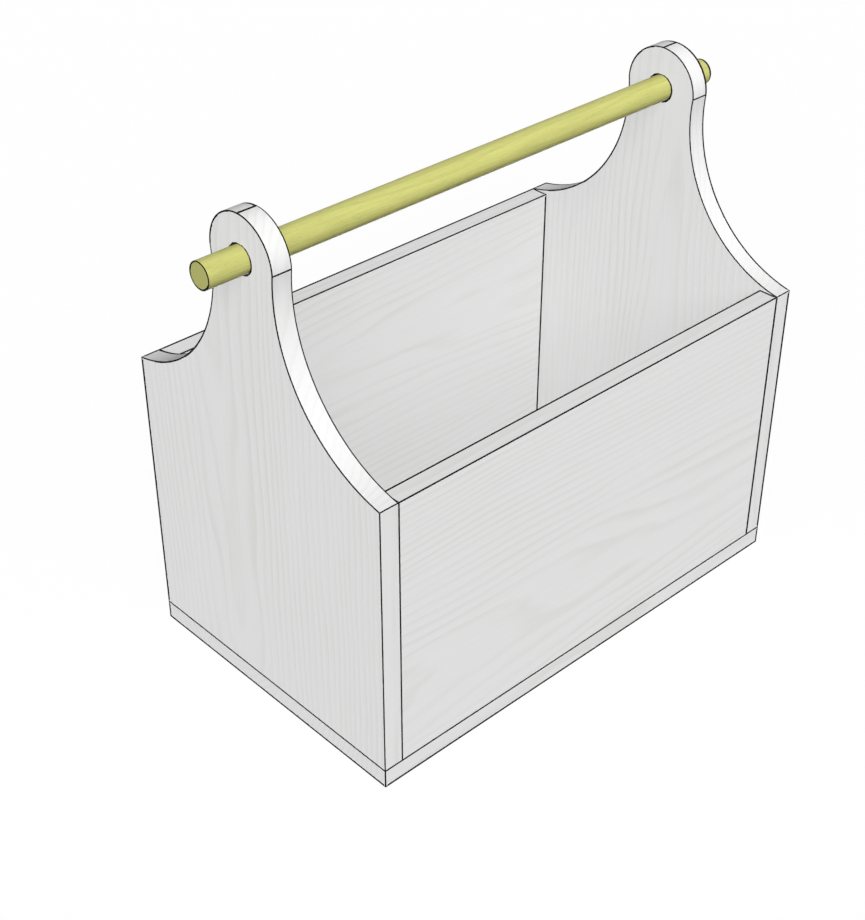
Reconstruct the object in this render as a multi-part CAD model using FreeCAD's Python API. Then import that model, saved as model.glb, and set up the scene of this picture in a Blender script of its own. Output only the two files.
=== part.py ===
"""A wooden tool tote, built as its maker would build it.

Two tall end boards and two low side boards stand on a bottom board, and a
round dowel through the heads of the end boards is the carrying handle.
Nothing shows on the outside of the joints: pressed beech biscuits in blind
slots join the sides to the ends, countersunk screws come up through the
bottom board, and the handle is glued where it passes through the heads.

Frame: +X runs along the handle, +Y from front to rear, +Z up. The origin is
the middle of the bottom board's underside. Millimetres throughout.
"""

import FreeCAD
import Part
import math
import os

INCH = 25.4
Vector = FreeCAD.Vector
X_WAY, Y_WAY, Z_WAY = Vector(1, 0, 0), Vector(0, 1, 0), Vector(0, 0, 1)

# Boards
tote_length = 13.0 * INCH
tote_width = 8.0 * INCH
side_height = 7.0 * INCH
bottom_thickness = 0.5 * INCH
end_thickness = 0.5 * INCH
side_thickness = 0.5 * INCH
arris = 0.5

# Shaped heads of the end boards
head_radius = 1.0 * INCH
head_rise = 4.0 * INCH
scoop_radius = 3.625 * INCH

# Handle
handle_diameter = 0.625 * INCH
handle_overhang = 1.0 * INCH
handle_end_chamfer = 0.5
handle_fit = 0.1

# Pressed biscuits in the four corner joints, size 0, and the slots' cutter
biscuits_per_corner = 2
biscuit_length = 47.0
biscuit_width = 15.0
biscuit_thickness = 4.0
biscuit_tip_width = 2.5
biscuit_edge_distance = 1.75 * INCH
biscuit_fit = 0.05
slot_depth = 8.0
slot_cutter_radius = 50.0

# Flat-head wood screws up through the bottom board
screws_per_side = 3
screw_length = 1.25 * INCH
screw_head_diameter = 7.0
screw_head_angle = 82.0
screw_core_diameter = 2.6
screw_recess_depth = 1.5
screw_recess_width = 0.9
screw_recess_span = 3.8
screw_sink = 0.3
screw_hole_fit = 0.15
pilot_fit = 0.05
pilot_spare_depth = 1.0
side_screw_margin = 2.0 * INCH

# Places that follow from the sizes above
half_length = tote_length / 2
half_width = tote_width / 2
inner_half_length = half_length - end_thickness
inner_half_width = half_width - side_thickness
shoulder_height = bottom_thickness + side_height
handle_height = shoulder_height + head_rise
handle_radius = handle_diameter / 2
end_centre_x = half_length - end_thickness / 2
side_centre_y = half_width - side_thickness / 2


def rod(start, way, length, radius):
    """A round rod or drill path of that length from a start point."""
    return Part.makeCylinder(radius, length, start, way)


def spread(count, low, high):
    """Evenly spaced places from low to high, or the middle for one."""
    if count == 1:
        return [(low + high) / 2]
    return [low + (high - low) * i / (count - 1) for i in range(count)]


def turned(outline, start):
    """A turned piece: (radius, height) points revolved about an upright axis."""
    points = [start + Vector(radius, 0, height) for radius, height in outline]
    face = Part.Face(Part.makePolygon(points + points[:1]))
    return Part.makeSolid(Part.Shell(face.revolve(start, Z_WAY, 360).Faces))


def plank(low, high):
    """A sawn board between two corners, with all its arrises eased."""
    size = high.sub(low)
    board = Part.makeBox(size.x, size.y, size.z, low)
    return board.makeChamfer(arris, board.Edges)


# ---- Where the fasteners stand -------------------------------------------

def biscuit_places():
    """(node name, middle) of each biscuit, on the faces where boards meet."""
    places = []
    heights = spread(biscuits_per_corner,
                     bottom_thickness + biscuit_edge_distance,
                     shoulder_height - biscuit_edge_distance)
    for end, end_sign in (("left", -1), ("right", 1)):
        for side, side_sign in (("front", -1), ("rear", 1)):
            for number, height in enumerate(heights, 1):
                middle = Vector(end_sign * inner_half_length,
                                side_sign * side_centre_y, height)
                places.append((f"corner_biscuit_{side}_{end}_{number}", middle))
    return places


def screw_places():
    """(node name, x, y) of each screw under the walls: a row along each side
    board and one under the middle of each end board."""
    places = []
    reach = inner_half_length - side_screw_margin
    for side, sign in (("front", -1), ("rear", 1)):
        for number, x in enumerate(spread(screws_per_side, -reach, reach), 1):
            places.append((f"bottom_screw_{side}_{number}", x, sign * side_centre_y))
    places.append(("bottom_screw_left", -end_centre_x, 0))
    places.append(("bottom_screw_right", end_centre_x, 0))
    return places


# ---- Drill paths, each shared by all the boards that it runs through ------

def lens(middle, bulge, reach, tip, thickness):
    """An upright plate with two bowed edges, bulge wide and reach long on
    each side of its middle. A tip above zero cuts its points square."""
    def at(across, up):
        return middle + Vector(across, -thickness / 2, up)

    edges = [Part.Arc(at(-tip / 2, -reach), at(-bulge, 0), at(-tip / 2, reach)).toShape(),
             Part.Arc(at(tip / 2, reach), at(bulge, 0), at(tip / 2, -reach)).toShape()]
    if tip > 0:
        edges.insert(1, Part.makeLine(at(-tip / 2, reach), at(tip / 2, reach)))
        edges.append(Part.makeLine(at(tip / 2, -reach), at(-tip / 2, -reach)))
    return Part.Face(Part.Wire(edges)).extrude(Y_WAY * thickness)


def biscuit_slots():
    """Blind slots, each as a round cutter leaves it on either side of a joint."""
    reach = math.sqrt(slot_cutter_radius ** 2 - (slot_cutter_radius - slot_depth) ** 2)
    width = biscuit_thickness + 2 * biscuit_fit
    return [lens(middle, slot_depth, reach, 0, width) for name, middle in biscuit_places()]


def screw_holes():
    """Countersink, clearance hole and pilot hole, in one turned cutter."""
    mouth = screw_head_diameter / 2 + screw_sink * head_slope()
    clear = screw_core_diameter / 2 + screw_hole_fit
    pilot = screw_core_diameter / 2 + pilot_fit
    depth = screw_sink + screw_length + pilot_spare_depth
    outline = [(0, 0), (mouth, 0), (clear, (mouth - clear) / head_slope()),
               (clear, bottom_thickness), (pilot, bottom_thickness), (pilot, depth),
               (0, depth)]
    return [turned(outline, Vector(x, y, 0)) for name, x, y in screw_places()]


def head_slope():
    """Radius gained per millimetre along a screw head's cone."""
    return math.tan(math.radians(screw_head_angle / 2))


# ---- Boards ----------------------------------------------------------------

def scoop_centre():
    """Centre (y, z) of a rear scoop: it ends on the shoulder's corner and
    touches the round head from outside, so two known distances fix it."""
    to_head = head_radius + scoop_radius
    to_corner = scoop_radius
    across, down = half_width, shoulder_height - handle_height
    apart = math.hypot(across, down)
    along = (apart ** 2 + to_head ** 2 - to_corner ** 2) / (2 * apart)
    off = math.sqrt(to_head ** 2 - along ** 2)
    unit_y, unit_z = across / apart, down / apart
    return (along * unit_y - off * unit_z,
            handle_height + along * unit_z + off * unit_y)


def end_outline(x):
    """The end board's edge as a closed wire of lines and tangent arcs."""
    centre_y, centre_z = scoop_centre()
    share = head_radius / (head_radius + scoop_radius)
    touch_y = centre_y * share
    touch_z = handle_height + (centre_z - handle_height) * share
    mid_y, mid_z = (touch_y + half_width) / 2, (touch_z + shoulder_height) / 2
    reach = scoop_radius / math.hypot(mid_y - centre_y, mid_z - centre_z)
    mid_y = centre_y + (mid_y - centre_y) * reach
    mid_z = centre_z + (mid_z - centre_z) * reach

    def at(y, z):
        return Vector(x, y, z)

    foot = bottom_thickness
    top = handle_height + head_radius
    edges = [
        Part.makeLine(at(-half_width, foot), at(half_width, foot)),
        Part.makeLine(at(half_width, foot), at(half_width, shoulder_height)),
        Part.Arc(at(half_width, shoulder_height), at(mid_y, mid_z),
                 at(touch_y, touch_z)).toShape(),
        Part.Arc(at(touch_y, touch_z), at(0, top), at(-touch_y, touch_z)).toShape(),
        Part.Arc(at(-touch_y, touch_z), at(-mid_y, mid_z),
                 at(-half_width, shoulder_height)).toShape(),
        Part.makeLine(at(-half_width, shoulder_height), at(-half_width, foot)),
    ]
    return Part.Wire(edges)


def end_board(sign):
    """An end board: its outline sawn, bored for the handle, every rim eased,
    then slotted for the biscuits and drilled for its screw."""
    inner_x = sign * inner_half_length
    blank = Part.Face(end_outline(inner_x)).extrude(X_WAY * (sign * end_thickness))
    bore = rod(Vector(inner_x, 0, handle_height), X_WAY * sign,
               end_thickness, handle_radius + handle_fit)
    blank = blank.cut(bore)
    rims = [edge for edge in blank.Edges if edge.BoundBox.XLength < end_thickness / 2]
    return drilled(blank.makeChamfer(arris, rims), biscuit_slots() + screw_holes())


def side_board(sign):
    """A side board, held between the two end boards."""
    low_y, high_y = sorted((sign * inner_half_width, sign * half_width))
    board = plank(Vector(-inner_half_length, low_y, bottom_thickness),
                  Vector(inner_half_length, high_y, shoulder_height))
    return drilled(board, biscuit_slots() + screw_holes())


def bottom_board():
    """The bottom board, flush with the walls that stand on it."""
    board = plank(Vector(-half_length, -half_width, 0),
                  Vector(half_length, half_width, bottom_thickness))
    return drilled(board, screw_holes())


def drilled(board, holes):
    """The board with every drill path that reaches it cut out."""
    reached = [hole for hole in holes if hole.BoundBox.intersect(board.BoundBox)]
    return board.cut(reached).removeSplitter()


# ---- Handle and fasteners ---------------------------------------------------

def handle():
    """The dowel, chamfered at both ends."""
    length = tote_length + 2 * handle_overhang
    dowel = rod(Vector(-length / 2, 0, handle_height), X_WAY, length, handle_radius)
    rims = [edge for edge in dowel.Edges if edge.BoundBox.XLength < handle_end_chamfer]
    return dowel.makeChamfer(handle_end_chamfer, rims)


def biscuit(middle):
    """A biscuit of pressed beech, lying across a corner joint."""
    return lens(middle, biscuit_width / 2, biscuit_length / 2, biscuit_tip_width,
                biscuit_thickness)


def bottom_screw(x, y):
    """A flat-head wood screw, its crossed recess looking down. Below the head
    it stands as the thread's plain core."""
    head, core = screw_head_diameter / 2, screw_core_diameter / 2
    screw = turned([(0, 0), (head, 0), (core, (head - core) / head_slope()),
                    (core, screw_length), (0, screw_length)],
                   Vector(x, y, screw_sink))
    across, slot = screw_recess_span, screw_recess_width
    recess = [Part.makeBox(a, b, screw_recess_depth,
                           Vector(x - a / 2, y - b / 2, screw_sink))
              for a, b in ((across, slot), (slot, across))]
    return screw.cut(recess)


# ---- The whole tote ----------------------------------------------------------

def build():
    """Every piece of the tote, by the name of its node."""
    pieces = {
        "bottom_board": bottom_board(),
        "left_end_board": end_board(-1),
        "right_end_board": end_board(1),
        "front_side_board": side_board(-1),
        "rear_side_board": side_board(1),
        "handle_dowel": handle(),
    }
    for name, middle in biscuit_places():
        pieces[name] = biscuit(middle)
    for name, x, y in screw_places():
        pieces[name] = bottom_screw(x, y)
    return pieces


os.makedirs("parts", exist_ok=True)
for node, shape in build().items():
    shape.exportStep(f"parts/{node}.step")
    print(f"{node:28s} valid={shape.isValid()} solids={len(shape.Solids)}"
          f" faces={len(shape.Faces)} volume={shape.Volume:.1f} mm3")
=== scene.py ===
# %% [markdown]
# # A painted wooden tool tote
#
# The tote is a low box of five boards with a round carrying handle. Its
# construction is already solved by a CAD model, which this script loads as a
# fixed frame. Every board that is made here takes its size and place from it.
# What is left for Blender is the look: eased and lined arrises, a thin coat of
# grey paint that lets the grain show, and a stained dowel.

# %% Load the frame
import math

import bmesh
import bpy
from bmesh.types import BMFace, BMVert
from mathutils import Matrix, Vector


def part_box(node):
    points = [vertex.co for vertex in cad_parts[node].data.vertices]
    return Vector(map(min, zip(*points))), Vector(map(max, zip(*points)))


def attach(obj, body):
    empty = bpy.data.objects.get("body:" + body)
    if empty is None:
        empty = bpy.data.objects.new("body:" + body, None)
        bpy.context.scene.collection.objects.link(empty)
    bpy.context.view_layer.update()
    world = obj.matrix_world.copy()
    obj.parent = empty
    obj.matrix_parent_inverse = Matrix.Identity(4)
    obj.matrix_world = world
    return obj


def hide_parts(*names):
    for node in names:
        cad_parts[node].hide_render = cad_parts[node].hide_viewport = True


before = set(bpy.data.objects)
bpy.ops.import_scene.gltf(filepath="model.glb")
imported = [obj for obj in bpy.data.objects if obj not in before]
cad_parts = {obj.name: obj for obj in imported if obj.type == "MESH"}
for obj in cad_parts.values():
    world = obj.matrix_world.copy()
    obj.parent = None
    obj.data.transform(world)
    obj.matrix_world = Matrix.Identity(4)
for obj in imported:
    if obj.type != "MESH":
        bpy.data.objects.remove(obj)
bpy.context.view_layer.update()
print("CAD nodes:", len(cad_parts))

# %% [markdown]
# ## Sizes
#
# Blender works in metres. The boards' faces are read from the frame, so this
# script holds no second copy of the tote's length, width or height. The curves
# of the ends are faceted in the frame, so their sizes are written here, as the
# inches that a maker would set a pair of compasses to. The head of each end is
# centred on the handle, at a point of the Y and Z plane.

# %% Read the tote's sizes
MM = 0.001
INCH = 0.0254
BORE_PLAY = 0.1 * MM

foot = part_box("left_end_board")[0].z
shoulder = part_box("front_side_board")[1].z
half_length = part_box("right_end_board")[1].x
half_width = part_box("right_end_board")[1].y
inner_half_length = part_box("right_end_board")[0].x
inner_half_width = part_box("rear_side_board")[0].y
dowel_low, dowel_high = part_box("handle_dowel")
handle_height = (dowel_low.z + dowel_high.z) / 2
handle_radius = (dowel_high.z - dowel_low.z) / 2

head = Vector((0, handle_height))
head_radius = 1.0 * INCH
scoop_hollow = 1.0 * INCH
bore_radius = handle_radius + BORE_PLAY
print(f"boards reach {half_length / MM:.1f} x {half_width / MM:.1f} mm from the middle,",
      f"the handle is {2 * handle_radius / MM:.2f} mm thick, {handle_height / MM:.1f} mm up")

# %% [markdown]
# ## Camera
#
# The tote is seen from its front left corner and from above, so that the
# front, one shaped end and the inside all show. A lens of about 67 mm stands
# well back from the object, as in a catalogue, and keeps its lines calm.

# %% Place the camera
CAMERA_PLACE = (-0.612048, -0.618381, 0.696389)
CAMERA_TURN = math.radians(-43.0451)
CAMERA_DOWN = math.radians(34.7649)
SENSOR_MM = 36
LENS_MM = 67.25

lens = bpy.data.cameras.new("camera")
lens.sensor_width = SENSOR_MM
lens.lens = LENS_MM
camera = bpy.data.objects.new("camera", lens)
camera.location = CAMERA_PLACE
camera.rotation_euler = (math.pi / 2 - CAMERA_DOWN, 0, CAMERA_TURN)
bpy.context.scene.collection.objects.link(camera)
bpy.context.scene.camera = camera
print("camera at", CAMERA_PLACE, "with a lens of", LENS_MM, "mm")

# %% [markdown]
# ## A helper for node materials
#
# Every finish below is a chain of shader nodes. One helper adds a node, sets
# its properties, and gives each input either a plain value or a link. Colours
# are written as hex values in sRGB, as on a paint chart, so one function turns
# them into the linear values that Blender mixes.

# %% Helpers for materials
def linear(hex_colour):
    """A #RRGGBB colour as linear RGBA."""
    channels = [int(hex_colour[i:i + 2], 16) / 255 for i in (1, 3, 5)]
    return [c / 12.92 if c <= 0.04045 else ((c + 0.055) / 1.055) ** 2.4
            for c in channels] + [1.0]


def add(tree, kind, inputs=None, **properties):
    """Adds a node. Inputs maps a socket's name or number to a value or a link."""
    node = tree.nodes.new("ShaderNode" + kind)
    for key, value in properties.items():
        setattr(node, key, value)
    for key, value in (inputs or {}).items():
        if isinstance(value, bpy.types.NodeSocket):
            tree.links.new(value, node.inputs[key])
        else:
            node.inputs[key].default_value = value
    return node


def new_finish(name):
    """A material with an empty node tree, and that tree."""
    material = bpy.data.materials.new(name)
    material.use_nodes = True
    material.node_tree.nodes.clear()
    return material, material.node_tree


def place_in_mm(tree):
    """Object coordinates in millimetres, so that a pattern's size is a real one."""
    place = add(tree, "TexCoord").outputs["Object"]
    return add(tree, "VectorMath", {0: place, "Scale": 1 / MM}, operation="SCALE").outputs[0]


print(f"#808080 is {linear('#808080')[0]:.3f} in linear light")

# %% [markdown]
# ## Wood grain
#
# Wood is a solid pattern. A tree lays one ring a year round its pith, and a
# board cut from it shows stripes where the rings pass through its face, arches
# where the saw ran along a ring, and arcs on its ends. An image would have to
# be made for each face. It is simpler to work the pattern out in space: the
# distance from a line, the pith, counts the rings, and that distance is the
# length of a cross product. The line leans a little, as a tree does, and noise
# bends the rings.
#
# Fibres, pores and brush marks all run along the grain, so one stretched noise
# serves for each of them. Most of its values lie between 0.3 and 0.7, so that is
# the range that a finish spreads over its tones and its sheen.

# %% Helpers for wood grain
NOISE_LOW = 0.3
NOISE_HIGH = 0.7
NOISE_MIDDLE = (0.5,) * 3
BEND_MM = (16.0,) * 3
BEND_ACROSS_MM = 40.0
BEND_LENGTH_MM = 220.0
YEAR_END = 0.3
YEAR_TONES = ((0.10, 0.0), (0.55, 0.15), (0.86, 1.0), (0.93, 0.9))


def stretched_noise(tree, place, grain, across, length, detail=2.0):
    """Noise drawn out along the grain axis, with features of that size in mm."""
    shrink = [1 / (length if axis == grain else across) for axis in "XYZ"]
    squeezed = add(tree, "VectorMath", {0: place, 1: shrink}, operation="MULTIPLY")
    return add(tree, "TexNoise", {"Vector": squeezed.outputs[0], "Scale": 1.0,
                                  "Detail": detail, "Roughness": 0.55})


def growth_rings(tree, place, grain, pith, lean, spacing):
    """0 in the pale early wood of a ring, rising to 1 in its thin dark late wood.
    Pith is a point on the tree's axis in mm, and lean is the axis's direction."""
    noise = stretched_noise(tree, place, grain, BEND_ACROSS_MM, BEND_LENGTH_MM)
    bend = add(tree, "VectorMath", {0: noise.outputs["Color"], 1: NOISE_MIDDLE},
               operation="SUBTRACT")
    from_pith = add(tree, "VectorMath", {0: place, 1: pith}, operation="SUBTRACT")
    bent = add(tree, "VectorMath", {0: bend.outputs[0], 1: BEND_MM,
                                    2: from_pith.outputs[0]}, operation="MULTIPLY_ADD")
    axis = Vector(lean).normalized()
    crossed = add(tree, "VectorMath", {0: bent.outputs[0], 1: axis}, operation="CROSS_PRODUCT")
    distance = add(tree, "VectorMath", {0: crossed.outputs[0]}, operation="LENGTH")
    count = add(tree, "Math", {0: distance.outputs["Value"], 1: spacing}, operation="DIVIDE")
    year = add(tree, "Math", {0: count.outputs[0]}, operation="FRACT")
    growth = add(tree, "ValToRGB", {"Fac": year.outputs[0]})
    stops = growth.color_ramp.elements
    stops[0].color = stops[1].color = (YEAR_END, YEAR_END, YEAR_END, 1)
    for moment, darkness in YEAR_TONES:
        stops.new(moment).color = (darkness, darkness, darkness, 1)
    return growth.outputs["Color"]


print("rings bend over", BEND_ACROSS_MM, "mm across the grain and", BEND_LENGTH_MM, "mm along it")

# %% [markdown]
# ## Pale grey paint on softwood
#
# The boards are planed softwood under a thin, matt, pale grey paint, brushed
# along the grain. The hard late wood stands a few hundredths of a millimetre
# proud of the soft early wood and wears the paint thinner, and the brush
# leaves faint streaks. None of it is strong: it only tells the eye that there
# is wood under the paint.
#
# Each board gets a pith and a lean of its own, so no two boards match.

# %% Make the paint
PAINT = "#E2E2E2"
THIN_PAINT = "#D4D3D1"
RING_MM = 4.2
RING_RELIEF_MM = 0.035
BRUSH_MM = 0.9
BRUSH_LENGTH_MM = 55.0
BRUSH_RELIEF_MM = 0.012
PATCH_MM = 30.0
PATCH_LENGTH_MM = 120.0


def painted_softwood(name, grain, pith, lean):
    """Matt grey paint over one board's own grain: nearly flat, faintly streaked."""
    material, tree = new_finish(name)
    place = place_in_mm(tree)
    rings = growth_rings(tree, place, grain, pith, lean, RING_MM)
    patches = stretched_noise(tree, place, grain, PATCH_MM, PATCH_LENGTH_MM, detail=3.0)
    strokes = stretched_noise(tree, place, grain, BRUSH_MM, BRUSH_LENGTH_MM, detail=3.0)
    brush = strokes.outputs["Fac"]

    shows = add(tree, "MapRange", {"Value": patches.outputs["Fac"], "From Min": 0.35,
                                   "From Max": 0.65, "To Min": 0.15, "To Max": 0.5})
    grain_shows = add(tree, "Math", {0: rings, 1: shows.outputs[0]}, operation="MULTIPLY")
    streaks = add(tree, "MapRange", {"Value": brush, "From Min": NOISE_LOW,
                                     "From Max": NOISE_HIGH, "To Min": -0.1, "To Max": 0.15})
    thinness = add(tree, "Math", {0: grain_shows.outputs[0], 1: streaks.outputs[0]},
                   operation="ADD", use_clamp=True)
    paint = add(tree, "Mix", {0: thinness.outputs[0], 6: linear(PAINT), 7: linear(THIN_PAINT)},
                data_type="RGBA")

    ring_relief = add(tree, "Bump", {"Height": rings, "Distance": RING_RELIEF_MM * MM,
                                     "Strength": 1.0})
    relief = add(tree, "Bump", {"Height": brush, "Distance": BRUSH_RELIEF_MM * MM,
                                "Strength": 1.0, "Normal": ring_relief.outputs[0]})
    sheen = add(tree, "MapRange", {"Value": brush, "From Min": NOISE_LOW,
                                   "From Max": NOISE_HIGH, "To Min": 0.65, "To Max": 0.8})
    shader = add(tree, "BsdfPrincipled", {"Base Color": paint.outputs[2], "IOR": 1.5,
                                          "Specular IOR Level": 0.1,
                                          "Roughness": sheen.outputs[0],
                                          "Normal": relief.outputs[0]})
    add(tree, "OutputMaterial", {"Surface": shader.outputs[0]})
    return material


print("paint", PAINT, "thinning to", THIN_PAINT, "over rings", RING_MM, "mm apart")

# %% [markdown]
# ## Charcoal lining
#
# The arrises, where two faces of a board meet, are picked out with a fine
# charcoal line, as on coach-painted furniture, so the joints and outlines read
# clearly from across a room. It is the same matt paint in near black. Where a
# brush laid it by hand its tone drifts a little.

# %% Make the lining
LINING = "#0F0F0F"
WORN_LINING = "#1C1C1B"
DRIFT_MM = 9.0


def charcoal_lining():
    """Near-black matt paint for the arrises, a little greyer where it is worn."""
    material, tree = new_finish("charcoal_lining")
    place = place_in_mm(tree)
    drift = add(tree, "TexNoise", {"Vector": place, "Scale": 1 / DRIFT_MM, "Detail": 3.0})
    tone = add(tree, "Mix", {0: drift.outputs["Fac"], 6: linear(LINING), 7: linear(WORN_LINING)},
               data_type="RGBA")
    shader = add(tree, "BsdfPrincipled", {"Base Color": tone.outputs[2], "Roughness": 0.85,
                                          "IOR": 1.4, "Specular IOR Level": 0.1})
    add(tree, "OutputMaterial", {"Surface": shader.outputs[0]})
    return material


lining = charcoal_lining()
print("lining", LINING)

# %% [markdown]
# ## Eased and lined arrises
#
# A real arris is never knife sharp: it is eased with sandpaper, or it would
# splinter. A bevel does the same, and its rounding takes the lining. An inset
# adds a narrow lined margin on each side of it. The margin has a second use:
# it keeps smooth shading from bleeding across the big flat faces, because it
# holds their normals straight.
#
# A draughtsman and a coach painter both draw the shade lines heavier: those on
# the sides that turn away from the light, here the right, the rear and the
# underside. That extra width is painted shade: a darker edge laid where the
# light falls away. Such a line swells along a curve, so it is laid in narrow strips:
# two hairlines first, then broader strips that each start a little further
# round than the one outside it. How many of them a line may have depends on its
# place. Where two boards lie flush, their arrises meet in a groove, so there
# one to three strips on each side are enough.
#
# The line could also be drawn in the shader, from distances to the edges, but
# those would have to be worked out for every board. Here the mesh carries it:
# lined faces simply use the piece's second material.

# %% Helpers for lined arrises
ARRIS = 0.3 * MM
ROUNDING_STEPS = 3
SHARP = math.radians(60)
LINED = 1

HAIRLINE = 0.17 * MM
SHADE_STRIP = 0.26 * MM
HAIRLINES = 2
SHADE_STARTS = (-0.3, 0.0, 0.3, 0.5, 0.6)
STRIPS = (HAIRLINE,) * HAIRLINES + (SHADE_STRIP,) * len(SHADE_STARTS)
# The way the light falls away: arrises that turn this way get painted shade, a heavier dark line.
SHADE_WAY = Vector((1, 1, -1)).normalized()
OWN_SHADE = 2
JOINT_REACH = 2.0 * MM

ALL_STRIPS = len(STRIPS)
STRAIGHT_STRIPS = 6
HEAD_STRIPS = 6
SHOULDER_STRIPS = 5
TOP_RIM_STRIPS = 5
INNER_RIM_STRIPS = 4
SEAM_STRIPS = 2
BORE_SWELL = 3


def sharp_edges(bm):
    """The edges that a hand would feel as arrises."""
    return [edge for edge in bm.edges if edge.calc_face_angle() > SHARP]


def ease(bm, edges):
    """Rounds these edges, gives the rounding to the lining, and returns it."""
    made = bmesh.ops.bevel(bm, geom=edges, offset=ARRIS, offset_type="OFFSET",
                           segments=ROUNDING_STEPS, profile=0.5, affect="EDGES",
                           clamp_overlap=False, material=-1)
    for face in made["faces"]:
        face.material_index = LINED
    return set(made["faces"])


def inset(bm, faces, width):
    """Cuts a strip inside each region of connected faces, and returns the strips."""
    made = bmesh.ops.inset_region(bm, faces=faces, thickness=width,
                                  use_boundary=True, use_even_offset=True)
    return made["faces"]


def neighbours(face):
    """The faces across each edge of this one."""
    return {other for edge in face.edges for other in edge.link_faces} - {face}


def at_foot_seam(point):
    """True beside the seam where the walls stand flush on the bottom board."""
    outside = max(abs(point.x) - half_length, abs(point.y) - half_width) > -HAIRLINE
    return outside and abs(point.z - foot) < JOINT_REACH


def at_side_seam(point):
    """True beside an upright seam, where a side board lies flush between the ends."""
    return (abs(abs(point.x) - inner_half_length) < JOINT_REACH
            and abs(point.y) > half_width - HAIRLINE)


def at_bore(point):
    """True beside the rim of a bore, where the handle stands in it."""
    return (abs(point.x) < half_length + JOINT_REACH
            and (point.yz - head).length < bore_radius + JOINT_REACH)


def strips_at_side_seam(point):
    """One strip more than at the foot for the right seam, and one fewer on the left
    end, so that the seams look alike from the front."""
    if point.x > 0:
        return SEAM_STRIPS + 1
    return SEAM_STRIPS - 1 if point.x < -inner_half_length else SEAM_STRIPS


def strips_round_bore(point):
    """Round the handle the line swells, from the hairlines above it to five strips
    beside it."""
    sideways = abs((point.yz - head).normalized().x)
    return HAIRLINES + round(BORE_SWELL * sideways)


def most_on_rim(point):
    """The most strips on a curved rim of an end. The left end, which is nearer, has
    one fewer than the right. At the rear, the right-hand rim of each end has the
    most, because the eye meets it at a low angle there."""
    on_left = point.x < 0
    fewer = int(on_left)
    looks_in = abs(point.x) < inner_half_length + JOINT_REACH
    if point.y >= 0 and looks_in == on_left:
        return ALL_STRIPS - fewer
    if looks_in:
        return INNER_RIM_STRIPS - fewer
    return (HEAD_STRIPS if point.z > handle_height else SHOULDER_STRIPS) - fewer


def most_strips(point):
    """The most strips that line an arris here. The corners of the ends have them all."""
    on_end = abs(point.x) > inner_half_length and point.z > foot
    if on_end and abs(point.y) > half_width - JOINT_REACH:
        return ALL_STRIPS
    if point.z > shoulder + HAIRLINE:
        return most_on_rim(point)
    at_top = abs(point.x) < inner_half_length and point.z > shoulder - HAIRLINE
    looks_in = abs(point.y) < inner_half_width + JOINT_REACH
    return TOP_RIM_STRIPS if at_top and looks_in else STRAIGHT_STRIPS


def shade_turn(face, rounding):
    """How far the arris beside this face turns to the shade side: up to 1, and
    less where the face itself already looks that way."""
    turns = [(other.normal - face.normal).normalized() for other in neighbours(face) & rounding]
    own_shade = OWN_SHADE * max(0, face.normal.dot(SHADE_WAY))
    return max((turn.dot(SHADE_WAY) for turn in turns), default=-1) - own_shade


def strips_to_line(point, turn, fewest):
    """How many strips carry the line here, counted from the arris in."""
    if at_foot_seam(point):
        return SEAM_STRIPS
    if at_side_seam(point):
        return strips_at_side_seam(point)
    if at_bore(point):
        return strips_round_bore(point)
    # Each shade strip past the hairlines is painted shade, widening the dark line where the arris
    # turns from the light.
    shade = sum(turn > start for start in SHADE_STARTS)
    strips = HAIRLINES + shade if shade else fewest
    return min(strips, most_strips(point))


def line_margins(bm, faces, rounding, fewest=HAIRLINES):
    """Cuts the strips inside each region, from its arrises in, and lines them."""
    turns = {}
    for number, width in enumerate(STRIPS, start=1):
        strips = inset(bm, faces, width)
        if number == 1:
            turns = {strip: shade_turn(strip, rounding) for strip in strips}
        else:
            turns = {strip: max(turns[outer] for outer in neighbours(strip) if outer in turns)
                     for strip in strips}
        for strip, turn in turns.items():
            if number <= strips_to_line(strip.calc_center_median(), turn, fewest):
                strip.material_index = LINED


def finish_piece(bm, name, node, materials):
    """Turns the bmesh into a smooth-shaded piece that stands for a CAD node."""
    bmesh.ops.recalc_face_normals(bm, faces=bm.faces[:])
    for face in bm.faces:
        face.smooth = True
    mesh = bpy.data.meshes.new(name)
    bm.to_mesh(mesh)
    bm.free()
    for material in materials:
        mesh.materials.append(material)
    piece = bpy.data.objects.new(name, mesh)
    bpy.context.scene.collection.objects.link(piece)
    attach(piece, "root")
    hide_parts(node)
    print(f"{name}: {len(mesh.polygons)} faces")


print(f"arrises of {ARRIS / MM:.1f} mm, lines up to {sum(STRIPS) / MM:.2f} mm wide on each side")

# %% [markdown]
# ## The straight boards
#
# The two sides and the bottom are plain planks, sawn square. A cube with a
# matrix that stretches it is the natural start: the matrix goes to the
# operator, so the object itself stays unscaled and its object coordinates
# stay true millimetres for the grain.

# %% Make the side boards
def plank(node):
    """A square-sawn board that fills the node's box, as a bmesh."""
    low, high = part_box(node)
    stretch = Matrix.Translation((low + high) / 2) @ Matrix.Diagonal((*(high - low), 1))
    bm = bmesh.new()
    bmesh.ops.create_cube(bm, size=1, matrix=stretch)
    rounding = ease(bm, bm.edges[:])
    line_margins(bm, [face for face in bm.faces if face not in rounding], rounding)
    return bm


front_paint = painted_softwood("painted_front", "X", pith=(0, -40, 60), lean=(1, 0.035, 0.01))
finish_piece(plank("front_side_board"), "front_plank", "front_side_board",
             [front_paint, lining])
rear_paint = painted_softwood("painted_rear", "X", pith=(0, 150, 130), lean=(1, -0.03, 0.015))
finish_piece(plank("rear_side_board"), "rear_plank", "rear_side_board",
             [rear_paint, lining])

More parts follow.
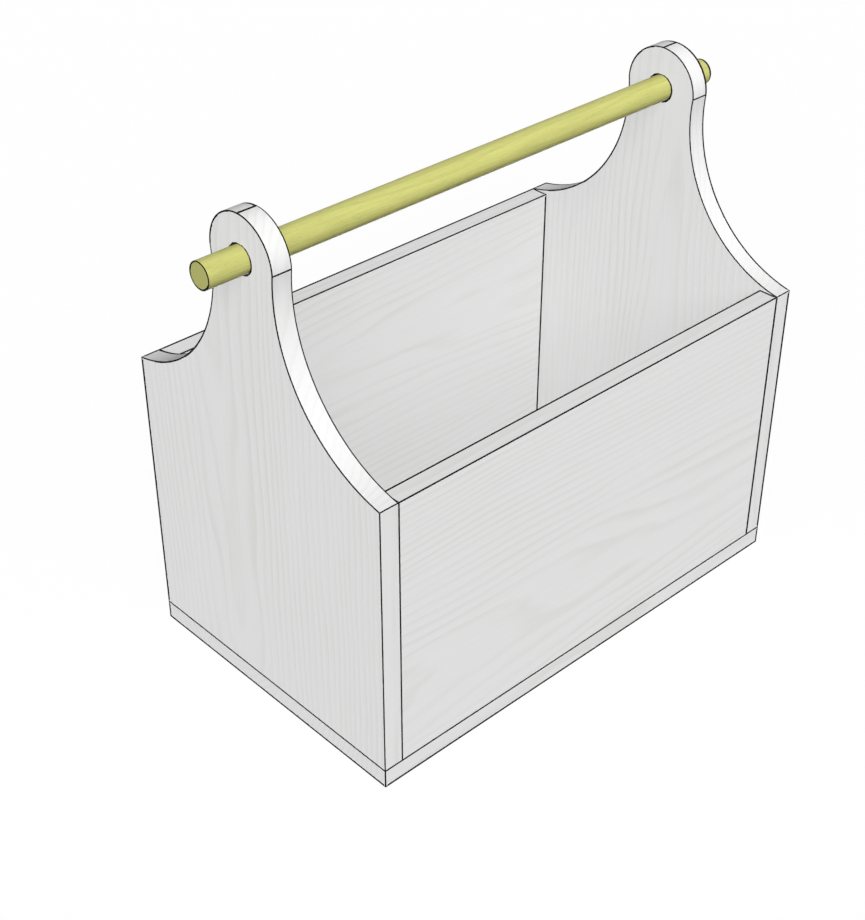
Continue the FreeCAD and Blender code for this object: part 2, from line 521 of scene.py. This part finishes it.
# %% [markdown]
# ## The bottom board and its screw holes
#
# The walls are screwed on from underneath, so the bottom board is the one
# plank with holes to see. A countersink bit leaves a cone for the screw's head
# and a straight hole above it. Each hole is drawn as three rings of edges,
# bridged one to the next, and the board's two broad faces are taken off and
# filled again round the rings. A boolean cut would do the same, but it leaves
# less control over the mesh. The rings are marked sharp, so that smooth
# shading stops at them.

# %% Make the bottom board
SQUARE_ON = 0.99
HOLE_STEPS = 32
HOLE_RADIUS = 1.45 * MM
COUNTERSINK = math.radians(82)
COUNTERSINK_SLOPE = math.tan(COUNTERSINK / 2)


def level_ring(bm, place, z, radius):
    """A circle of sharp edges that lies level, round an upright line at a place."""
    level = Matrix.Translation((place.x, place.y, z))
    made = bmesh.ops.create_circle(bm, radius=radius, segments=HOLE_STEPS, matrix=level)
    edges = list({edge for vert in made["verts"] for edge in vert.link_edges})
    for edge in edges:
        edge.smooth = False
    return edges


def broadest(bm, way):
    """The largest face that looks up or down, for a way of 1 or -1."""
    looks_that_way = [face for face in bm.faces if face.normal.z * way > SQUARE_ON]
    return max(looks_that_way, key=BMFace.calc_area)


def drill_for_screws(bm, low_z, high_z):
    """Cuts a countersunk hole right through a board for every screw of the frame."""
    underside = broadest(bm, -1)
    top = broadest(bm, 1)
    under_rims = list(underside.edges)
    top_rims = list(top.edges)
    bmesh.ops.delete(bm, geom=[underside, top], context="FACES_ONLY")
    screws = [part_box(name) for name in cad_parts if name.startswith("bottom_screw")]
    for low, high in screws:
        middle = (low + high) / 2
        mouth = (high.x - low.x) / 2 + (low.z - low_z) * COUNTERSINK_SLOPE
        cone_top = low_z + (mouth - HOLE_RADIUS) / COUNTERSINK_SLOPE
        rings = [level_ring(bm, middle, low_z, mouth),
                 level_ring(bm, middle, cone_top, HOLE_RADIUS),
                 level_ring(bm, middle, high_z, HOLE_RADIUS)]
        bmesh.ops.bridge_loops(bm, edges=rings[0] + rings[1])
        bmesh.ops.bridge_loops(bm, edges=rings[1] + rings[2])
        under_rims += rings[0]
        top_rims += rings[2]
    bmesh.ops.triangle_fill(bm, edges=under_rims, use_beauty=True)
    bmesh.ops.triangle_fill(bm, edges=top_rims, use_beauty=True)
    print(f"{len(screws)} countersunk holes, {2 * mouth / MM:.1f} mm wide at the mouth")


bottom = plank("bottom_board")
drill_for_screws(bottom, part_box("bottom_board")[0].z, foot)
bottom_paint = painted_softwood("painted_bottom", "X", pith=(0, 35, 48), lean=(1, 0.01, 0.03))
finish_piece(bottom, "bottom_plank", "bottom_board", [bottom_paint, lining])

# %% [markdown]
# ## The outline of an end board
#
# The ends are what makes this tote. Each has a half-round head that holds the
# handle, and hollow shoulders that sweep down from it to the corners of the
# box. A maker draws them with compasses. The head is half a circle round the
# handle. Each shoulder is an arc sprung from the side of the head to the
# corner of the box, one inch deep at its middle.
#
# That depth and half the straight line between the arc's ends give its radius,
# by the theorem of Pythagoras. Its centre then lies one radius from the
# middle of the arc, square to that line.

# %% Find the shoulder's arc
neck = head + Vector((head_radius, 0))
corner = Vector((half_width, shoulder))
chord = corner - neck
outward = Vector((-chord.y, chord.x)).normalized()
scoop_radius = ((chord.length / 2) ** 2 + scoop_hollow ** 2) / (2 * scoop_hollow)
scoop = (neck + corner) / 2 + outward * (scoop_radius - scoop_hollow)
scoop_sweep = (corner - scoop).angle(neck - scoop)
print(f"shoulder arc of {scoop_radius / INCH:.3f} in,",
      f"turning {math.degrees(scoop_sweep):.1f} degrees,",
      f"about {scoop.x / MM:.1f} mm out and {scoop.y / MM:.1f} mm up")

# %% [markdown]
# ## Drawing that outline
#
# The outline could be a long list of points, but the operators can draw it as
# compasses do. A vertex is extruded for a straight line and spun for an arc,
# from the foot round to the crown. Then the half is mirrored, the handle's
# bore is added as a circle, and the area between them is filled.
#
# Where one arc ends and the next begins, at the neck and at the crown, the
# maker's tick is still to be seen across the edge of the board. Each tick is a
# very short step of the arc on both sides of the mark, so that it becomes a
# narrow face of its own.

# %% Helpers that draw an outline
TICK = 0.5 * MM
CROWN_TICK = 0.85 * MM
SCOOP_STEPS = 40
HEAD_STEPS = 36
BORE_STEPS = 96
SAME_PLACE = 0.001 * MM


def line_to(bm, end, y, z):
    """Draws a straight line on from a vertex, and returns its far end."""
    made = bmesh.ops.extrude_vert_indiv(bm, verts=[end])["verts"][0]
    made.co = (end.co.x, y, z)
    return made


def arc_on(bm, end, centre, angle, steps=1):
    """Draws an arc on from a vertex, and returns its far end."""
    made = bmesh.ops.spin(bm, geom=[end], cent=(0, *centre), axis=(1, 0, 0), dvec=(0, 0, 0),
                          angle=angle, steps=steps, use_merge=False, use_duplicate=False)
    return next(item for item in made["geom_last"] if isinstance(item, BMVert))


def draw_end(bm, x):
    """Fills the outline of an end board, with its bore, in the plane at x."""
    end = bm.verts.new((x, 0, foot))
    end = line_to(bm, end, half_width, foot)
    end = line_to(bm, end, half_width, shoulder)
    end = arc_on(bm, end, scoop, TICK / scoop_radius - scoop_sweep, SCOOP_STEPS)
    end = arc_on(bm, end, scoop, -TICK / scoop_radius)
    end = arc_on(bm, end, head, TICK / head_radius)
    end = arc_on(bm, end, head, math.pi / 2 - (TICK + CROWN_TICK) / head_radius, HEAD_STEPS)
    end = arc_on(bm, end, head, CROWN_TICK / head_radius)
    bmesh.ops.mirror(bm, geom=bm.verts[:] + bm.edges[:], axis="Y", merge_dist=SAME_PLACE)
    bmesh.ops.remove_doubles(bm, verts=bm.verts[:], dist=SAME_PLACE)
    across = Matrix.Translation((x, *head)) @ Matrix.Rotation(math.pi / 2, 4, "Y")
    bmesh.ops.create_circle(bm, radius=bore_radius, segments=BORE_STEPS, matrix=across)
    bmesh.ops.triangle_fill(bm, edges=bm.edges[:], use_beauty=True)


print(SCOOP_STEPS, "steps in each shoulder,", HEAD_STEPS, "in each quarter of the head")

# %% [markdown]
# ## The end boards
#
# One extrusion gives the flat outline the thickness of the board. Its arrises
# are then eased and lined like those of the planks, and the ticks are inked.
# The inside of the bore is left alone, because the handle hides it.

# %% Make the end boards
EDGE_ON = 0.01
WIDEST_TICK = 1.1 * CROWN_TICK


def is_tick(face):
    """True for the narrow faces across the edge of the board at a maker's tick."""
    spans = [edge.calc_length() for edge in face.edges]
    return len(spans) == 4 and min(spans) < WIDEST_TICK


def in_bore(face):
    """True for the faces that line the bore."""
    return (face.calc_center_median().yz - head).length < bore_radius + ARRIS


def end_board(name, node, finish):
    """A shaped end, as thick as the node's box."""
    low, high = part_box(node)
    bm = bmesh.new()
    draw_end(bm, low.x)
    made = bmesh.ops.extrude_face_region(bm, geom=bm.faces[:])["geom"]
    moved = [item for item in made if isinstance(item, BMVert)]
    bmesh.ops.translate(bm, verts=moved, vec=(high.x - low.x, 0, 0))
    bmesh.ops.recalc_face_normals(bm, faces=bm.faces[:])
    ticks = [face for face in bm.faces if is_tick(face)]
    for face in ticks:
        face.material_index = LINED
    rounding = ease(bm, sharp_edges(bm))

    flats = [face for face in bm.faces
             if face not in rounding and abs(face.normal.x) > SQUARE_ON]
    line_margins(bm, flats, rounding)
    edge_faces = [face for face in bm.faces
                  if face not in rounding and abs(face.normal.x) < EDGE_ON and not in_bore(face)]
    line_margins(bm, edge_faces, rounding, fewest=1)
    finish_piece(bm, name, node, [finish, lining])


left_paint = painted_softwood("painted_left_end", "Z", pith=(-205, 24, 0), lean=(0.03, 0.01, 1))
end_board("left_end", "left_end_board", left_paint)
right_paint = painted_softwood("painted_right_end", "Z", pith=(130, -18, 0),
                               lean=(-0.035, 0.015, 1))
end_board("right_end", "right_end_board", right_paint)

# %% [markdown]
# ## Straw-stained dowel
#
# The handle is hardwood dowel with a straw-coloured stain, polished by hands.
# Hardwood is finer than the boards' softwood: its fibres are short and close,
# its pores are dark dashes along the grain, and its rings are faint. The sawn
# ends drink more stain, so they are the same finish in a deeper colour.
#
# Pores are about a tenth of a millimetre wide, which is too fine to show here,
# so they are drawn a quarter of a millimetre wide.

# %% Make the stain
STRAW = "#C6C677"
STRAW_PORE = "#A9A862"
END_STRAW = "#B5B56C"
END_PORE = "#97965A"
DOWEL_PITH = (0, 16, 285)
DOWEL_LEAN = (1, 0.01, 0.02)
DOWEL_RING_MM = 2.4
RING_TONE = 0.3
FIBRE_MM = 0.7
FIBRE_LENGTH_MM = 28.0
PORE_MM = 0.25
PORE_LENGTH_MM = 5.0
PORE_DEPTH_MM = 0.02
PORE_TONE = 0.6


def stained_dowel(name, colour, pore_colour):
    """Satin stained hardwood: fine fibre, dark pores and faint rings."""
    material, tree = new_finish(name)
    place = place_in_mm(tree)
    rings = growth_rings(tree, place, "X", DOWEL_PITH, DOWEL_LEAN, DOWEL_RING_MM)
    fibres = stretched_noise(tree, place, "X", FIBRE_MM, FIBRE_LENGTH_MM, detail=3.0)
    fibre = fibres.outputs["Fac"]
    pores = stretched_noise(tree, place, "X", PORE_MM, PORE_LENGTH_MM, detail=1.0)

    dashes = add(tree, "MapRange", {"Value": pores.outputs["Fac"], "From Min": 0.6,
                                    "From Max": 0.72})
    faint_rings = add(tree, "Math", {0: rings, 1: RING_TONE}, operation="MULTIPLY")
    fine = add(tree, "MapRange", {"Value": fibre, "From Min": NOISE_LOW,
                                  "From Max": NOISE_HIGH, "To Min": 0.0, "To Max": 0.35})
    soft = add(tree, "Math", {0: faint_rings.outputs[0], 1: fine.outputs[0]}, operation="ADD")
    depth = add(tree, "Math", {0: dashes.outputs[0], 1: PORE_TONE, 2: soft.outputs[0]},
                operation="MULTIPLY_ADD", use_clamp=True)
    stain = add(tree, "Mix", {0: depth.outputs[0], 6: linear(colour), 7: linear(pore_colour)},
                data_type="RGBA")

    sunk = add(tree, "Bump", {"Height": dashes.outputs[0], "Distance": PORE_DEPTH_MM * MM,
                              "Strength": 1.0}, invert=True)
    sheen = add(tree, "MapRange", {"Value": fibre, "From Min": NOISE_LOW,
                                   "From Max": NOISE_HIGH, "To Min": 0.42, "To Max": 0.55})
    shader = add(tree, "BsdfPrincipled", {"Base Color": stain.outputs[2], "IOR": 1.5,
                                          "Specular IOR Level": 0.2,
                                          "Roughness": sheen.outputs[0],
                                          "Normal": sunk.outputs[0]})
    add(tree, "OutputMaterial", {"Surface": shader.outputs[0]})
    return material


print("stain", STRAW, "along the grain,", END_STRAW, "on the sawn ends")

# %% [markdown]
# ## The handle
#
# The handle is one straight length of dowel that runs through both heads and
# stands an inch proud of them. A cone operator with equal radii makes the
# cylinder. Both rims are sanded round and lined, and the two sawn ends take
# the deeper stain.

# %% Make the handle
END_GRAIN = 2
HANDLE_STEPS = 96

handle_length = dowel_high.x - dowel_low.x
lying = Matrix.Translation((0, *head)) @ Matrix.Rotation(math.pi / 2, 4, "Y")
bm = bmesh.new()
bmesh.ops.create_cone(bm, cap_ends=True, segments=HANDLE_STEPS, radius1=handle_radius,
                      radius2=handle_radius, depth=handle_length, matrix=lying)
rounding = ease(bm, sharp_edges(bm))
sawn_ends = [face for face in bm.faces if abs(face.normal.x) > SQUARE_ON]
bark_side = [face for face in bm.faces if face not in rounding and face not in sawn_ends]
for face in sawn_ends:
    face.material_index = END_GRAIN
line_margins(bm, sawn_ends + bark_side, rounding, fewest=1)
finish_piece(bm, "handle", "handle_dowel",
             [stained_dowel("straw_stained_dowel", STRAW, STRAW_PORE), lining,
              stained_dowel("straw_stained_end_grain", END_STRAW, END_PORE)])

# %% [markdown]
# ## Beech biscuits
#
# Flat beech biscuits join the boards inside the corners. They are hidden once
# the glue is dry, so the frame's own shape is enough and only the finish is
# made here. Biscuits are pressed from beech with the fibres running on the
# slant, which shows as fine diagonal streaks and small dark flecks.

# %% Finish the biscuits
BEECH = "#D2AE84"
BEECH_FLECK = "#A87E55"
SLANT = math.radians(45)
BEECH_FIBRE_MM = 0.5
BEECH_FIBRE_LENGTH_MM = 9.0
BEECH_FIBRE_TONE = 0.5
FLECK_MM = 0.6
FLECK_LENGTH_MM = 2.5
BEECH_RELIEF_MM = 0.03


def pressed_beech():
    """Pressed beech: pale tan, with slanting fibres and small dark flecks."""
    material, tree = new_finish("pressed_beech")
    place = place_in_mm(tree)
    slanted = add(tree, "Mapping", {"Vector": place, "Rotation": (SLANT, 0, 0)}).outputs[0]
    fibres = stretched_noise(tree, slanted, "Z", BEECH_FIBRE_MM, BEECH_FIBRE_LENGTH_MM, detail=3.0)
    fibre = fibres.outputs["Fac"]
    flecks = stretched_noise(tree, slanted, "Z", FLECK_MM, FLECK_LENGTH_MM, detail=1.0)
    fleck = add(tree, "MapRange", {"Value": flecks.outputs["Fac"], "From Min": 0.62,
                                   "From Max": 0.7})
    depth = add(tree, "Math", {0: fibre, 1: BEECH_FIBRE_TONE, 2: fleck.outputs[0]},
                operation="MULTIPLY_ADD", use_clamp=True)
    wood = add(tree, "Mix", {0: depth.outputs[0], 6: linear(BEECH), 7: linear(BEECH_FLECK)},
               data_type="RGBA")
    relief = add(tree, "Bump", {"Height": fibre, "Distance": BEECH_RELIEF_MM * MM,
                                "Strength": 1.0})
    shader = add(tree, "BsdfPrincipled", {"Base Color": wood.outputs[2], "Roughness": 0.7,
                                          "IOR": 1.5, "Normal": relief.outputs[0]})
    add(tree, "OutputMaterial", {"Surface": shader.outputs[0]})
    return material


def finish_nodes(start, finish):
    """Gives a finish to every node of the frame whose name starts this way."""
    found = [node for name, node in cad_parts.items() if name.startswith(start)]
    for node in found:
        for place in node.material_slots:
            place.material = finish
    print(f"{start}: {finish.name} on {len(found)} nodes")


finish_nodes("corner_biscuit", pressed_beech())

# %% [markdown]
# ## Zinc-plated screws
#
# Countersunk steel screws hold the bottom board, with their heads just below
# the surface underneath. Bright zinc plate is a soft silver with a slight
# blue, and it comes out of the barrel with cloudy patches of duller metal. As
# a metal it has no diffuse colour: its colour tints what it reflects.

# %% Finish the screws
ZINC = "#C8CBCE"
DULL_ZINC = "#A9ACAE"
CLOUD_MM = 1.6


def zinc_plate():
    """Bright zinc plate: silver, cloudy, and half polished."""
    material, tree = new_finish("zinc_plate")
    place = place_in_mm(tree)
    clouds = add(tree, "TexNoise", {"Vector": place, "Scale": 1 / CLOUD_MM, "Detail": 3.0})
    colour = add(tree, "Mix", {0: clouds.outputs["Fac"], 6: linear(ZINC), 7: linear(DULL_ZINC)},
                 data_type="RGBA")
    polish = add(tree, "MapRange", {"Value": clouds.outputs["Fac"], "From Min": NOISE_LOW,
                                    "From Max": NOISE_HIGH, "To Min": 0.22, "To Max": 0.42})
    shader = add(tree, "BsdfPrincipled", {"Base Color": colour.outputs[2], "Metallic": 1.0,
                                          "Roughness": polish.outputs[0]})
    add(tree, "OutputMaterial", {"Surface": shader.outputs[0]})
    return material


finish_nodes("bottom_screw", zinc_plate())

# %% [markdown]
# ## Floor
#
# The tote stands on a plain floor that looks white to the camera and keeps a
# soft shadow, so the tote doesn't float. A white floor would also throw so
# much light upwards that the handle lost its roundness, so to the light it is
# a dark grey. The Light Path node tells the two apart: only a ray from the
# camera, a reflection or a view through glass sees the paler floor.
#
# From below the floor is clear, so that the screws can be looked at. It lies a
# hair under the tote, because two faces in one plane would flicker.

# %% Lay the floor
GREY_TO_LIGHT = 0.16
GREY_TO_EYE = 0.5
FLOOR_LIGHT = 0.93
FLOOR_SIZE = 12
FLOOR_GAP = 0.05 * MM


def seen_directly(tree):
    """1 for rays that show the background, from the camera or by way of gloss or
    glass, and 0 for the rays that light the object."""
    path = add(tree, "LightPath")
    either = add(tree, "Math", {0: path.outputs["Is Camera Ray"],
                                1: path.outputs["Is Glossy Ray"]}, operation="MAXIMUM")
    return add(tree, "Math", {0: either.outputs[0], 1: path.outputs["Is Transmission Ray"]},
               operation="MAXIMUM").outputs[0]


floor_finish, tree = new_finish("studio_floor")
seen = seen_directly(tree)
tone = add(tree, "MapRange", {"Value": seen, "To Min": GREY_TO_LIGHT, "To Max": GREY_TO_EYE})
glow = add(tree, "Math", {0: seen, 1: 1 - GREY_TO_EYE * FLOOR_LIGHT}, operation="MULTIPLY")
grey = add(tree, "BsdfDiffuse", {"Color": tone.outputs[0]})
white = add(tree, "Emission", {"Strength": glow.outputs[0]})
both = add(tree, "AddShader", {0: grey.outputs[0], 1: white.outputs[0]})
from_below = add(tree, "NewGeometry").outputs["Backfacing"]
clear = add(tree, "BsdfTransparent")
one_way = add(tree, "MixShader", {0: from_below, 1: both.outputs[0], 2: clear.outputs[0]})
add(tree, "OutputMaterial", {"Surface": one_way.outputs[0]})

bm = bmesh.new()
bmesh.ops.create_grid(bm, x_segments=1, y_segments=1, size=FLOOR_SIZE,
                      matrix=Matrix.Translation((0, 0, -FLOOR_GAP)))
floor_mesh = bpy.data.meshes.new("floor")
bm.to_mesh(floor_mesh)
bm.free()
floor_mesh.materials.append(floor_finish)
floor = bpy.data.objects.new("floor", floor_mesh)
bpy.context.scene.collection.objects.link(floor)
print("floor: grey", GREY_TO_LIGHT, "to the light,", GREY_TO_EYE, "and a glow to the eye")

# %% [markdown]
# ## Light
#
# A broad lamp high on the front left gives the faces their order: the hollow
# shoulders brightest, then the front, the top and the end. Most of its light
# casts no shadow, as if many lamps filled in for one another, so the inside of
# the box stays readable. The rest casts a soft one. A low fill from behind,
# like light thrown back by a pale room, lifts the faces that turn away.
#
# The world's light reaches a flat face whole, while a sun's reaches it by the
# cosine of its angle, divided by pi. So each sun's share is written as the
# part of full light that it adds to a face turned squarely to it.

# %% Set the lights
WORLD_SHARE = 0.064
KEY_SHARE = 0.2
OPEN_KEY_SHARE = 1.34
FILL_SHARE = 0.94
KEY_WAY = (-0.575, -0.6, 0.556)
FILL_WAY = (0.62, 0.52, -0.476)
SUN_SPREAD = math.radians(35)

world = bpy.data.worlds.new("studio")
bpy.context.scene.world = world
world.use_nodes = True
tree = world.node_tree
tree.nodes.clear()
strength = add(tree, "MapRange", {"Value": seen_directly(tree), "To Min": WORLD_SHARE,
                                  "To Max": 1.0})
sky = add(tree, "Background", {"Color": (1, 1, 1, 1), "Strength": strength.outputs[0]})
add(tree, "OutputWorld", {"Surface": sky.outputs[0]})


def soft_sun(name, towards, share, natural=True):
    """A broad sun in that direction. One that isn't natural casts no shadow, and
    its light stops at the first face that it meets."""
    light = bpy.data.lights.new(name, "SUN")
    light.energy = share * math.pi
    light.angle = SUN_SPREAD
    if not natural:
        light.use_shadow = False
        light.cycles.max_bounces = 0
    lamp = bpy.data.objects.new(name, light)
    lamp.rotation_euler = Vector(towards).to_track_quat("Z", "Y").to_euler()
    bpy.context.scene.collection.objects.link(lamp)
    print(name, "adds", share)


soft_sun("key", KEY_WAY, KEY_SHARE)
soft_sun("open_key", KEY_WAY, OPEN_KEY_SHARE, natural=False)
soft_sun("fill", FILL_WAY, FILL_SHARE, natural=False)
bpy.context.scene.view_settings.view_transform = "Standard"
